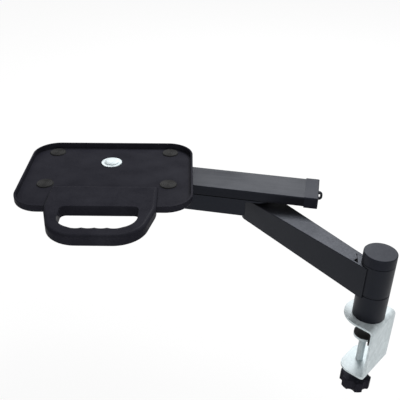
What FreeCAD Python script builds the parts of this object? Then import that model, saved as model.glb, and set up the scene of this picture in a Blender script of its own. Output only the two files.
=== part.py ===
"""Phone holder arm: a desk clamp with a post, a swivelling lower arm, an upper arm with a sliding rail,
and a phone tray with a pull handle. Millimetres, +Z up, origin on the post axis at the desk top,
+Y across the desk and away from the user."""
import FreeCAD, Part
import math
import os
import re
import Sketcher

DIMENSIONS = {
    # Desk clamp
    "clamp_angle": 46.5,
    "pad_thick": 5.0,
    "pad_drop": 22.0,
    "pad_inset": 7.0,
    "plate_thick": 3.0,
    "plate_radius": 31.5,
    "strap_reach": 24.5,
    "jaw_drop": 80.0,
    "jaw_tip": 18.0,
    "jaw_corner": 18.0,
    "bend_radius": 4.0,
    "screw_radius": 5.0,
    "screw_length": 86.0,
    "weld_nut_radius": 10.0,
    "weld_nut_length": 10.0,
    "desk_gap": 25.0,
    "foot_radius": 14.0,
    "foot_thick": 7.0,
    "foot_socket": 3.5,
    "foot_pad_thick": 2.0,
    "knob_radius": 21.0,
    "knob_thick": 17.0,
    "knob_socket": 12.0,
    "knob_notch_radius": 7.0,
    "knob_lobes": 6,
    "knob_rounding": 1.5,
    # Post
    "post_radius": 21.3,
    "collar_height": 39.5,
    "seam": 1.0,
    "seam_inset": 1.2,
    "sleeve_rise": 2.9,
    "cap_gap": 0.4,
    "cap_height": 14.8,
    "cap_wall": 3.0,
    "cap_rounding": 1.2,
    "rim_chamfer": 0.5,
    "spindle_radius": 10.0,
    "stud_radius": 5.0,
    "stud_length": 12.0,
    "bush_wall": 3.0,
    "bush_length": 14.0,
    "running_gap": 0.05,
    "retainer_radius": 16.0,
    "retainer_thick": 2.0,
    "lock_nut_flats": 17.0,
    "lock_nut_thick": 8.0,
    "fixing_screw_radius": 4.0,
    "fixing_screw_length": 20.0,
    "countersink_radius": 6.5,
    "countersink_depth": 2.5,
    # Lower arm
    "arm_angle": 124.6,
    "elbow_reach": 226.7,
    "arm_bottom": 43.6,
    "arm_height_post": 47.0,
    "arm_height_elbow": 37.6,
    "arm_side": 22.5,
    "arm_width_post": 21.0,
    "arm_width_elbow": 42.5,
    "elbow_side": 5.0,
    "arm_wall": 3.0,
    "arm_rounding": 1.2,
    "fit_gap": 0.3,
    "notch_front": 24.4,
    "notch_back": 33.0,
    "boss_reach_front": 16.5,
    "boss_reach_back": 31.0,
    "boss_depth": 1.2,
    "tongue_reach": 64.0,
    "tongue_height": 21.0,
    "arm_screw_first": 43.0,
    "arm_screw_pitch": 13.0,
    "small_screw_radius": 2.0,
    "small_head_radius": 4.0,
    "small_head_thick": 2.4,
    "small_screw_grip": 10.0,
    "arm_overhang": 22.0,
    "arm_end_rounding": 14.0,
    "hub_rise": 4.0,
    "hub_solid": 15.0,
    # Elbow
    "elbow_pin_radius": 6.0,
    "elbow_bush_wall": 2.5,
    "elbow_washer_radius": 16.0,
    "elbow_washer_thick": 2.5,
    "elbow_nut_washer_radius": 11.0,
    "elbow_nut_washer_thick": 1.6,
    "elbow_nut_flats": 18.0,
    "elbow_nut_thick": 8.0,
    "pin_tail": 2.0,
    "nut_recess": 12.5,
    "nut_recess_radius": 13.0,
    "face_gap": 0.15,
    # Upper arm and rail
    "beam_angle": 166.9,
    "beam_length": 150.0,
    "beam_wall": 3.0,
    "beam_depth": 28.0,
    "beam_mouth": 15.5,
    "rail_width": 60.0,
    "rail_height": 15.3,
    "rail_wall": 2.5,
    "rail_slot": 30.0,
    "rail_rounding": 1.5,
    "rail_lift": 0.5,
    "rail_tail": 70.0,
    "glide_gap": 0.3,
    "guide_tail": 18.0,
    "guide_setback": 6.0,
    "end_cap_length": 20.0,
    "end_cap_proud": 1.0,
    "end_cap_below": 1.5,
    "plug_depth": 14.0,
    "nose_plug_flange": 3.0,
    "loop_reach": 6.0,
    "loop_height": 13.0,
    "loop_thick": 4.0,
    "loop_band": 3.5,
    "loop_side": 6.5,
    "loop_rise": 1.0,
    "loop_corner": 5.5,
    # Tray and handle
    "swivel_reach": 234.0,
    "nose_overhang": 32.0,
    "swivel_disc_radius": 29.0,
    "swivel_disc_thick": 3.7,
    "swivel_bolt_radius": 5.0,
    "swivel_head_radius": 11.0,
    "swivel_head_thick": 2.6,
    "swivel_washer_radius": 16.0,
    "swivel_washer_thick": 1.0,
    "swivel_nut_flats": 15.0,
    "swivel_nut_thick": 6.0,
    "tray_angle": -1.0,
    "tray_width": 257.0,
    "tray_front": 147.0,
    "tray_back": 58.0,
    "tray_floor": 3.0,
    "tray_wall": 3.0,
    "tray_height": 11.0,
    "tray_corner": 40.0,
    "tray_rounding": 2.5,
    "handle_width": 156.0,
    "nose_taper": 38.0,
    "handle_shoulder": 152.0,
    "handle_front": 223.5,
    "handle_rear": 92.0,
    "handle_thick": 16.0,
    "handle_rise": 2.0,
    "handle_corner": 46.0,
    "shoulder_rounding": 60.0,
    "handle_rounding": 5.0,
    "handle_gap": 0.5,
    "nose_bar": 4.5,
    "hole_back": 150.0,
    "front_bar": 18.0,
    "hole_back_corner": 8.0,
    "hole_front_corner": 28.0,
    "scallop_radius": 20.0,
    "scallop_margin": 21.1,
    "scallop_depth": 1.6,
    "pad_radius": 13.0,
    "pad_height": 1.6,
    "pad_spread": 92.0,
    "pad_rear": 36.0,
    "pad_front": 70.0,
    "handle_screw_inset": 20.0,
    "handle_screw_rear": 102.0,
    "handle_screw_front": 136.0,
}

SCALLOPS = 4
GUIDE_SCREWS = 3
ARM_SCREWS = 2
# Shortest distance that still counts as apart, when edges are picked
NEAR = 0.01

doc = FreeCAD.newDocument("PhoneHolderArm")
sheet = doc.addObject("Spreadsheet::Sheet", "dims")
for row, (alias, value) in enumerate(DIMENSIONS.items(), start=1):
    sheet.set(f"A{row}", alias)
    sheet.set(f"B{row}", str(value))
    sheet.setAlias(f"B{row}", alias)
doc.recompute()


def ex(text):
    """Expression text with every size name pointed at the sheet."""
    return re.sub(r"[a-z_]+", lambda word: f"dims.{word[0]}" if word[0] in DIMENSIONS else word[0], text)


def value_of(text):
    """Present value of an expression as a plain number."""
    result = sheet.evalExpression(ex(text))
    return float(getattr(result, "Value", result))


def turned_point(x, y, angle, origin=("0", "0")):
    """World X and Y expressions of a local point in a frame that is turned about Z."""
    cosine = f"cos({angle} * 1 deg)"
    sine = f"sin({angle} * 1 deg)"
    return (f"({origin[0]} + ({x}) * {cosine} - ({y}) * {sine})",
            f"({origin[1]} + ({x}) * {sine} + ({y}) * {cosine})")


# Frames: the clamp turns about the post and the arm runs from it.
# The beam runs from the elbow, and the tray turns on its swivel.
ELBOW = turned_point("elbow_reach", "elbow_side", "arm_angle")
SWIVEL = turned_point("swivel_reach", "0", "beam_angle", ELBOW)
FRAMES = {
    "post": (("0", "0"), "0"),
    "clamp": (("0", "0"), "clamp_angle"),
    "arm": (("0", "0"), "arm_angle"),
    "beam": (ELBOW, "beam_angle"),
    "tray": (SWIVEL, "tray_angle"),
}

# Front end of the rail, along the beam from the elbow
RAIL_NOSE = "(swivel_reach + nose_overhang)"

# Heights above the desk top
PLATE_TOP = "(pad_thick + plate_thick)"
COLLAR_TOP = f"({PLATE_TOP} + collar_height)"
SLEEVE_BOTTOM = f"({COLLAR_TOP} + seam)"
SLEEVE_TOP = "(arm_bottom + arm_height_post + sleeve_rise)"
SLEEVE_HEIGHT = f"({SLEEVE_TOP} - {SLEEVE_BOTTOM})"
JAW_TOP = "(pad_thick - jaw_drop)"
JAW_BOTTOM = f"({JAW_TOP} - plate_thick)"
FOOT_TOP = "(0 - desk_gap - foot_pad_thick)"
SCREW_TOP = f"({FOOT_TOP} - foot_socket)"
SCREW_BOTTOM = f"({SCREW_TOP} - screw_length)"
KNOB_TOP = f"({SCREW_BOTTOM} + knob_socket)"
NUT_SEAT = "(arm_bottom + nut_recess)"
HUB_TOP = "(arm_bottom + arm_height_elbow + hub_rise)"
WEB_BOTTOM = f"({HUB_TOP} + elbow_washer_thick + 2 * face_gap)"
WEB_TOP = f"({WEB_BOTTOM} + beam_wall)"
RAIL_BOTTOM = f"({WEB_TOP} + rail_lift)"
RAIL_TOP = f"({RAIL_BOTTOM} + rail_height)"
DISC_TOP = f"({RAIL_TOP} + swivel_disc_thick)"
TRAY_BOTTOM = f"({DISC_TOP} + glide_gap)"
FLOOR_TOP = f"({TRAY_BOTTOM} + tray_floor)"
HANDLE_NOSE = "(handle_width - nose_taper)"
HOLE_WIDTH = f"({HANDLE_NOSE} - 2 * nose_bar)"
HANDLE_TOP = f"({TRAY_BOTTOM} + tray_height + handle_rise)"

nodes = []


def place(part, frame, x="0", y="0", z="0"):
    """Put a part at a local point of a frame and turn it with that frame."""
    origin, angle = FRAMES[frame]
    world_x, world_y = turned_point(x, y, angle, origin)
    part.setExpression("Placement.Base.x", ex(world_x))
    part.setExpression("Placement.Base.y", ex(world_y))
    part.setExpression("Placement.Base.z", ex(z))
    part.setExpression("Placement.Rotation.Angle", ex(f"{angle} * 1 deg"))
    return part


def keep(part, label):
    """List a finished sub-part as a node of the assembly."""
    part.Label = label
    nodes.append(part)
    return part


def new_body(name):
    """An empty body."""
    return doc.addObject("PartDesign::Body", name)


def new_sketch(body, role, offset="0"):
    """A sketch on one of the body's origin planes, moved along the plane's normal."""
    plane = next(item for item in body.Origin.OriginFeatures if item.Role == role)
    sketch = body.newObject("Sketcher::SketchObject", f"{body.Name}_sketch")
    sketch.AttachmentSupport = [(plane, "")]
    sketch.MapMode = "FlatFace"
    sketch.setExpression("AttachmentOffset.Base.z", ex(offset))
    return sketch


def fix(sketch, geometry, point, x, y):
    """Tie a sketch point to two expressions, measured from the sketch origin."""
    for kind, text in (("DistanceX", x), ("DistanceY", y)):
        number = sketch.addConstraint(Sketcher.Constraint(kind, -1, 1, geometry, point, value_of(text)))
        sketch.setExpression(f"Constraints[{number}]", ex(text))


def draw_polygon(sketch, points):
    """A closed outline of straight lines through the points."""
    corners = [FreeCAD.Vector(value_of(x), value_of(y), 0) for x, y in points]
    count = len(corners)
    first = sketch.GeometryCount
    for index in range(count):
        sketch.addGeometry(Part.LineSegment(corners[index], corners[(index + 1) % count]), False)
    for index in range(count):
        following = first + (index + 1) % count
        sketch.addConstraint(Sketcher.Constraint("Coincident", first + index, 2, following, 1))
    for index, (x, y) in enumerate(points):
        fix(sketch, first + index, 1, x, y)
    return sketch


def draw_rectangle(sketch, left, right, low, high):
    """A closed rectangle between two X and two Y expressions."""
    return draw_polygon(sketch, [(left, low), (right, low), (right, high), (left, high)])


def draw_rounded_rectangle(sketch, left, right, low, high, radius, high_radius=None):
    """A closed rectangle whose corners are quarter circles, with another radius at its high end if given."""
    radii = (radius, high_radius or radius, high_radius or radius, radius)
    lefts = [f"{left} + {radii[0]}", f"{left} + {radii[1]}"]
    rights = [f"{right} - {radii[0]}", f"{right} - {radii[1]}"]
    levels = [f"{low} + {radii[0]}", f"{high} - {radii[1]}"]
    ends = [((lefts[0], low), (rights[0], low)), ((right, levels[0]), (right, levels[1])),
            ((rights[1], high), (lefts[1], high)), ((left, levels[1]), (left, levels[0]))]
    centres = [(rights[0], levels[0]), (rights[1], levels[1]), (lefts[1], levels[1]), (lefts[0], levels[0])]
    lines = []
    arcs = []
    for number, (start, stop) in enumerate(ends):
        points = [FreeCAD.Vector(value_of(x), value_of(y), 0) for x, y in (start, stop)]
        lines.append(sketch.addGeometry(Part.LineSegment(*points), False))
        centre = FreeCAD.Vector(value_of(centres[number][0]), value_of(centres[number][1]), 0)
        circle = Part.Circle(centre, FreeCAD.Vector(0, 0, 1), value_of(radii[number]))
        turn = (number - 1) * math.pi / 2
        arcs.append(sketch.addGeometry(Part.ArcOfCircle(circle, turn, turn + math.pi / 2), False))
    for number, (start, stop) in enumerate(ends):
        sketch.addConstraint(Sketcher.Constraint("Coincident", lines[number], 2, arcs[number], 1))
        sketch.addConstraint(Sketcher.Constraint("Coincident", arcs[number], 2, lines[(number + 1) % 4], 1))
        fix(sketch, lines[number], 1, *start)
        fix(sketch, lines[number], 2, *stop)
        bend = sketch.addConstraint(Sketcher.Constraint("Radius", arcs[number], value_of(radii[number])))
        sketch.setExpression(f"Constraints[{bend}]", ex(radii[number]))
    return sketch


def draw_circle(sketch, x, y, radius):
    """A circle about a point."""
    centre = FreeCAD.Vector(value_of(x), value_of(y), 0)
    index = sketch.addGeometry(Part.Circle(centre, FreeCAD.Vector(0, 0, 1), value_of(radius)), False)
    fix(sketch, index, 3, x, y)
    number = sketch.addConstraint(Sketcher.Constraint("Radius", index, value_of(radius)))
    sketch.setExpression(f"Constraints[{number}]", ex(radius))
    return sketch


def pad(body, sketch, length, midplane=False):
    """Solid from a sketch, along its normal or to both sides of it."""
    feature = body.newObject("PartDesign::Pad", f"{body.Name}_pad")
    feature.Profile = sketch
    feature.setExpression("Length", ex(length))
    if midplane:
        feature.SideType = "Symmetric"
    doc.recompute()
    return feature


def pocket(body, sketch, length, along_normal=False):
    """Cut from a sketch, against its normal unless told otherwise."""
    before = body.Shape.Volume
    feature = body.newObject("PartDesign::Pocket", f"{body.Name}_pocket")
    feature.Profile = sketch
    feature.setExpression("Length", ex(length))
    feature.Reversed = along_normal
    doc.recompute()
    if body.Shape.Volume >= before:
        raise RuntimeError(f"a cut in {body.Name} removes nothing")
    return feature


def centred_pocket(body, sketch, width):
    """Cut from a sketch to both sides of its plane."""
    feature = pocket(body, sketch, width)
    feature.SideType = "Symmetric"
    doc.recompute()
    return feature


def revolve(body, points):
    """Turned solid from radius and height points about the Z axis."""
    sketch = draw_polygon(new_sketch(body, "XZ_Plane"), points)
    feature = body.newObject("PartDesign::Revolution", f"{body.Name}_turning")
    feature.Profile = sketch
    feature.ReferenceAxis = (sketch, ["V_Axis"])
    feature.Angle = 360
    doc.recompute()
    return feature


def edges_where(shape, wanted):
    """Names of the edges whose end points and middle pass a test."""
    return [f"Edge{number}" for number, edge in enumerate(shape.Edges, start=1) if wanted(edge)]


def soften(body, wanted, radius, kind="Fillet"):
    """Fillet or chamfer on the edges that pass a test."""
    base = body.Tip
    feature = body.newObject(f"PartDesign::{kind}", f"{body.Name}_{kind.lower()}")
    feature.Base = (base, edges_where(base.Shape, wanted))
    feature.setExpression("Radius" if kind == "Fillet" else "Size", ex(radius))
    doc.recompute()
    return feature


def is_vertical(edge):
    """True for a straight edge along Z."""
    if edge.Curve.TypeId != "Part::GeomLine":
        return False
    return abs(edge.tangentAt(edge.FirstParameter).z) > 0.999


def upright_at_y(depth):
    """Test for straight edges along Z at one local Y."""
    position = value_of(depth)
    return lambda edge: is_vertical(edge) and abs(edge.CenterOfMass.y - position) < NEAR


def upright_at_x(reach):
    """Test for straight edges along Z at one local X."""
    position = value_of(reach)
    return lambda edge: is_vertical(edge) and abs(edge.CenterOfMass.x - position) < NEAR


def at_height(level):
    """Test for edges that lie whole at one height."""
    height = value_of(level)
    return lambda edge: max(abs(edge.BoundBox.ZMin - height), abs(edge.BoundBox.ZMax - height)) < NEAR


def ring(label, frame, inner, outer, bottom, top, x="0", y="0"):
    """Turned ring or disc between two radii and two heights."""
    body = new_body(label)
    revolve(body, [(inner, "0"), (outer, "0"), (outer, f"{top} - {bottom}"), (inner, f"{top} - {bottom}")])
    return keep(place(body, frame, x, y, bottom), label)


def hexagon(label, frame, flats, bore, bottom, top):
    """Hexagonal nut with a plain bore."""
    body = new_body(label)
    corners = [(f"{flats} / sqrt(3) * cos({turn} deg)", f"{flats} / sqrt(3) * sin({turn} deg)")
               for turn in range(0, 360, 60)]
    pad(body, draw_polygon(new_sketch(body, "XY_Plane"), corners), f"{top} - {bottom}")
    pocket(body, draw_circle(new_sketch(body, "XY_Plane"), "0", "0", bore), f"{top} - {bottom}", True)
    return keep(place(body, frame, z=bottom), label)


def group(label, members):
    """Like pieces kept together as one node."""
    compound = doc.addObject("Part::Compound", label)
    compound.Links = members
    return keep(compound, label)


def build_clamp():
    """Folded bracket, pads, screw, foot and knob under the desk."""
    inner_face = "(strap_reach - plate_thick)"

    def fold_at(depth):
        """Test for the edges that run along a fold, right across the strip."""
        position = value_of(depth)
        across = value_of("plate_radius")
        return lambda edge: abs(edge.CenterOfMass.y - position) < NEAR and edge.BoundBox.XLength > across

    def half_disc(body, radius, thick):
        """Round end about the post, on the side away from the fold."""
        pad(body, draw_circle(new_sketch(body, "XY_Plane"), "0", "0", radius), thick)
        front = draw_rectangle(new_sketch(body, "XY_Plane"), "-plate_radius", "plate_radius",
                               "-plate_radius", "0")
        pocket(body, front, thick, True)

    bracket = new_body("clamp_bracket")
    half_disc(bracket, "plate_radius", "plate_thick")
    profile = [("-strap_reach", "plate_thick"), ("-strap_reach", "-jaw_drop - plate_thick"),
               ("jaw_tip", "-jaw_drop - plate_thick"), ("jaw_tip", "-jaw_drop"),
               (f"-{inner_face}", "-jaw_drop"), (f"-{inner_face}", "0"), ("0", "0"), ("0", "plate_thick")]
    pad(bracket, draw_polygon(new_sketch(bracket, "YZ_Plane"), profile), "2 * plate_radius", True)
    soften(bracket, fold_at(f"-{inner_face}"), "bend_radius")
    soften(bracket, fold_at("-strap_reach"), "bend_radius + plate_thick")
    soften(bracket, upright_at_y("jaw_tip"), "jaw_corner")
    pocket(bracket, draw_circle(new_sketch(bracket, "XY_Plane"), "0", "0", "fixing_screw_radius"),
           "plate_thick", True)
    countersink = bracket.newObject("PartDesign::Groove", "countersink")
    cone = new_sketch(bracket, "XZ_Plane")
    draw_polygon(cone, [("0", "0"), ("countersink_radius", "0"),
                        ("fixing_screw_radius", "countersink_depth"), ("0", "countersink_depth")])
    countersink.Profile = cone
    countersink.ReferenceAxis = (cone, ["V_Axis"])
    countersink.Angle = 360
    doc.recompute()
    pocket(bracket, draw_circle(new_sketch(bracket, "XY_Plane", "-jaw_drop"), "0", "0",
                                "screw_radius + glide_gap"), "plate_thick")
    keep(place(bracket, "clamp", z="pad_thick"), "clamp_bracket")

    desk_pad = new_body("desk_pad")
    pad_side = "plate_radius - pad_inset"
    pad_face = f"-({inner_face} - pad_thick)"
    half_disc(desk_pad, pad_side, "pad_thick")
    bend = [("0", "pad_thick"), (f"-{inner_face}", "pad_thick"), (f"-{inner_face}", "-pad_drop"),
            (pad_face, "-pad_drop"), (pad_face, "0"), ("0", "0")]
    pad(desk_pad, draw_polygon(new_sketch(desk_pad, "YZ_Plane"), bend), f"2 * ({pad_side})", True)
    fold = fold_at(f"-{inner_face}")
    soften(desk_pad, lambda edge: fold(edge) and edge.CenterOfMass.z > NEAR, "bend_radius")
    keep(place(desk_pad, "clamp"), "desk_pad")

    ring("weld_nut", "post", "screw_radius + running_gap", "weld_nut_radius",
         f"({JAW_BOTTOM} - weld_nut_length)", JAW_BOTTOM)

    foot = new_body("pressure_foot")
    low = "0 - foot_thick"
    socket = "screw_radius + running_gap"
    revolve(foot, [("0", "0"), ("foot_radius", "0"), ("foot_radius", "0 - foot_thick / 2"),
                   ("screw_radius + foot_socket", low), (socket, low), (socket, "0 - foot_socket"),
                   ("0", "0 - foot_socket")])
    keep(place(foot, "post", z=FOOT_TOP), "pressure_foot")
    ring("foot_pad", "post", "0", "foot_radius", FOOT_TOP, f"({FOOT_TOP} + foot_pad_thick)")

    screw = new_body("clamp_screw")
    tip = "screw_length - face_gap"
    revolve(screw, [("0", "0"), ("screw_radius", "0"), ("screw_radius", f"{tip} - rim_chamfer"),
                    ("screw_radius - rim_chamfer", tip), ("0", tip)])
    keep(place(screw, "post", z=SCREW_BOTTOM), "clamp_screw")

    knob = new_body("star_knob")
    pad(knob, draw_circle(new_sketch(knob, "XY_Plane"), "0", "0", "knob_radius"), "knob_thick")
    notch = pocket(knob, draw_circle(new_sketch(knob, "XY_Plane"), "knob_radius + knob_notch_radius / 2", "0",
                                     "knob_notch_radius"), "knob_thick", True)
    pattern = knob.newObject("PartDesign::PolarPattern", "knob_lobe_pattern")
    pattern.Originals = [notch]
    pattern.Axis = (notch.Profile[0], ["N_Axis"])
    pattern.Angle = 360
    pattern.setExpression("Occurrences", ex("knob_lobes"))
    knob.Tip = pattern
    doc.recompute()
    soften(knob, at_height("knob_thick"), "knob_rounding")
    soften(knob, at_height("0"), "knob_rounding")
    pocket(knob, draw_circle(new_sketch(knob, "XY_Plane", "knob_thick"), "0", "0", "screw_radius"),
           "knob_socket")
    keep(place(knob, "post", z=f"({KNOB_TOP} - knob_thick)"), "star_knob")


def build_post():
    """Fixed spindle, its collar, washers, nut and cap."""
    spindle = new_body("post_spindle")
    shank = f"{SLEEVE_TOP} - {PLATE_TOP}"
    revolve(spindle, [("fixing_screw_radius", "0"), ("spindle_radius", "0"), ("spindle_radius", shank),
                      ("stud_radius", shank), ("stud_radius", f"{shank} + stud_length"),
                      ("0", f"{shank} + stud_length"), ("0", "fixing_screw_length"),
                      ("fixing_screw_radius", "fixing_screw_length")])
    keep(place(spindle, "post", z=PLATE_TOP), "post_spindle")

    fixing = new_body("fixing_screw")
    revolve(fixing, [("0", "0"), ("countersink_radius", "0"), ("fixing_screw_radius", "countersink_depth"),
                     ("fixing_screw_radius", "plate_thick + fixing_screw_length - rim_chamfer"),
                     ("0", "plate_thick + fixing_screw_length - rim_chamfer")])
    keep(place(fixing, "post", z="pad_thick"), "fixing_screw")

    collar = new_body("post_collar")
    revolve(collar, [("spindle_radius", "0"), ("post_radius", "0"),
                     ("post_radius", "collar_height - rim_chamfer"),
                     ("post_radius - rim_chamfer", "collar_height"), ("spindle_radius", "collar_height")])
    keep(place(collar, "post", z=PLATE_TOP), "post_collar")

    ring("thrust_washer", "post", "spindle_radius", "post_radius - seam_inset", COLLAR_TOP,
         f"({SLEEVE_BOTTOM} - face_gap)")
    ring("retaining_washer", "post", "stud_radius", "retainer_radius", f"({SLEEVE_TOP} + face_gap)",
         f"({SLEEVE_TOP} + face_gap + retainer_thick)")
    nut_bottom = f"({SLEEVE_TOP} + face_gap + retainer_thick)"
    hexagon("spindle_nut", "post", "lock_nut_flats", "stud_radius", nut_bottom,
            f"({nut_bottom} + lock_nut_thick)")

    cap = new_body("top_cap")
    ceiling = "stud_length - cap_gap"
    revolve(cap, [("post_radius - cap_wall", "0"), ("post_radius - rim_chamfer", "0"),
                  ("post_radius", "rim_chamfer"), ("post_radius", "cap_height"), ("0", "cap_height"),
                  ("0", ceiling), ("post_radius - cap_wall", ceiling)])
    soften(cap, at_height("cap_height"), "cap_rounding")
    keep(place(cap, "post", z=f"({SLEEVE_TOP} + cap_gap)"), "top_cap")


def build_lower_arm():
    """Sleeve with its boss, the hollow arm and the bearings at both ends."""
    bore = "spindle_radius + running_gap + bush_wall"
    sleeve = new_body("arm_sleeve")
    revolve(sleeve, [(bore, "0"), ("post_radius - rim_chamfer", "0"), ("post_radius", "rim_chamfer"),
                     ("post_radius", f"{SLEEVE_HEIGHT} - rim_chamfer"),
                     ("post_radius - rim_chamfer", SLEEVE_HEIGHT), (bore, SLEEVE_HEIGHT)])
    front = "arm_side - arm_wall - fit_gap"
    back = "arm_side - arm_width_post + arm_wall + fit_gap"
    boss_top = f"arm_bottom + arm_height_post - boss_depth - {SLEEVE_BOTTOM}"
    boss = draw_polygon(new_sketch(sleeve, "XY_Plane"), [("0", back), ("boss_reach_back", back),
                                                         ("boss_reach_front", front), ("0", front)])
    pad(sleeve, boss, boss_top)
    pad(sleeve, draw_rectangle(new_sketch(sleeve, "XY_Plane"), "0", "tongue_reach", back, front),
        "tongue_height")
    pocket(sleeve, draw_circle(new_sketch(sleeve, "XY_Plane"), "0", "0", bore), SLEEVE_HEIGHT, True)
    for index in range(ARM_SCREWS):
        hole = new_sketch(sleeve, "XZ_Plane", f"-({back})")
        draw_circle(hole, f"arm_screw_first + arm_screw_pitch * {index}", "tongue_height / 2",
                    "small_screw_radius")
        pocket(sleeve, hole, "small_screw_grip")
    keep(place(sleeve, "arm", z=SLEEVE_BOTTOM), "arm_sleeve")

    for label, bottom in (("lower_bush", SLEEVE_BOTTOM), ("upper_bush", f"({SLEEVE_TOP} - bush_length)")):
        ring(label, "arm", "spindle_radius + running_gap", bore, bottom, f"({bottom} + bush_length)")

    shell = new_body("lower_arm_shell")

    def plan(inset, reach):
        """Outline of the arm seen from above, inset by a wall and cut off at one reach."""
        side = f"(arm_side - arm_width_post - (arm_width_elbow - arm_width_post) * ({reach}) / elbow_reach)"
        sketch = new_sketch(shell, "XY_Plane")
        return draw_polygon(sketch, [("0", f"arm_side - arm_width_post + {inset}"),
                                     (reach, f"{side} + {inset}"), (reach, f"arm_side - {inset}"),
                                     ("0", f"arm_side - {inset}")])

    arm_end = "(elbow_reach + arm_overhang)"
    drop = "(arm_height_post - arm_height_elbow) / elbow_reach"
    pad(shell, plan("0", arm_end), "arm_height_post")
    slope = draw_polygon(new_sketch(shell, "XZ_Plane"),
                         [("0", "arm_height_post"), (arm_end, f"arm_height_post - {drop} * {arm_end}"),
                          (arm_end, "arm_height_post + arm_wall"), ("0", "arm_height_post + arm_wall")])
    centred_pocket(shell, slope, "(arm_side + arm_width_elbow) * 2")
    soften(shell, upright_at_x(arm_end), "arm_end_rounding")
    long_run = value_of("elbow_reach - arm_overhang")
    above = value_of("arm_height_elbow")
    soften(shell, lambda edge: edge.BoundBox.XLength > long_run and edge.BoundBox.ZMax > above,
           "arm_rounding")
    hub = new_sketch(shell, "XY_Plane")
    draw_circle(hub, "elbow_reach", "elbow_side", "arm_side - elbow_side - fit_gap")
    pad(shell, hub, "arm_height_elbow + hub_rise")
    hollow_end = "elbow_reach - hub_solid"
    pocket(shell, plan("arm_wall", hollow_end), "arm_height_elbow - arm_wall", True)
    ceiling = new_sketch(shell, "XZ_Plane", "arm_width_post / 2 - arm_side")
    draw_polygon(ceiling, [("0", "0"), (hollow_end, "0"),
                           (hollow_end, f"arm_height_post - arm_wall - {drop} * ({hollow_end})"),
                           ("0", "arm_height_post - arm_wall")])
    centred_pocket(shell, ceiling, "arm_width_post - arm_wall * 2")
    notch = new_sketch(shell, "XY_Plane", "arm_height_post")
    wall_front = "arm_side - arm_wall"
    wall_back = "arm_side - arm_width_post + arm_wall"
    draw_polygon(notch, [("0", wall_back), ("notch_back", wall_back),
                         ("notch_front", "arm_side - arm_width_post / 2"), ("notch_front", wall_front),
                         ("0", wall_front)])
    pocket(shell, notch, "arm_wall * 2")
    saddle = new_sketch(shell, "XY_Plane")
    draw_circle(saddle, "0", "0", "post_radius + fit_gap")
    pocket(shell, saddle, "arm_height_post", True)
    axle = new_sketch(shell, "XY_Plane")
    elbow_bore = "elbow_pin_radius + running_gap + elbow_bush_wall"
    draw_circle(axle, "elbow_reach", "elbow_side", elbow_bore)
    pocket(shell, axle, "arm_height_elbow + hub_rise", True)
    recess = draw_circle(new_sketch(shell, "XY_Plane"), "elbow_reach", "elbow_side", "nut_recess_radius")
    pocket(shell, recess, "nut_recess", True)
    screw_level = f"{SLEEVE_BOTTOM} + tongue_height / 2 - arm_bottom"
    for index in range(ARM_SCREWS):
        hole = new_sketch(shell, "XZ_Plane", f"-({wall_back})")
        draw_circle(hole, f"arm_screw_first + arm_screw_pitch * {index}", screw_level, "small_screw_radius")
        pocket(shell, hole, "arm_width_elbow / 2", True)
    keep(place(shell, "arm", z="arm_bottom"), "lower_arm_shell")

    screws = []
    for index in range(ARM_SCREWS):
        reach = f"(arm_screw_first + arm_screw_pitch * {index})"
        taper = f"(arm_width_elbow - arm_width_post) * ({reach} + small_head_radius) / elbow_reach"
        seat = f"(arm_side - arm_width_post - {taper})"
        screw = new_body(f"arm_screw_{index}")
        head = draw_circle(new_sketch(screw, "XZ_Plane"), "0", "0", "small_head_radius")
        pad(screw, head, "small_head_thick")
        shank = draw_circle(new_sketch(screw, "XZ_Plane"), "0", "0", "small_screw_radius")
        feature = pad(screw, shank, f"{back} - {seat} + small_screw_grip - rim_chamfer")
        feature.Reversed = True
        doc.recompute()
        screws.append(place(screw, "arm", reach, seat, f"({SLEEVE_BOTTOM} + tongue_height / 2)"))
    group("arm_screws", screws)

    ring("elbow_bush", "beam", "elbow_pin_radius + running_gap", elbow_bore, NUT_SEAT, HUB_TOP)


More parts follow.
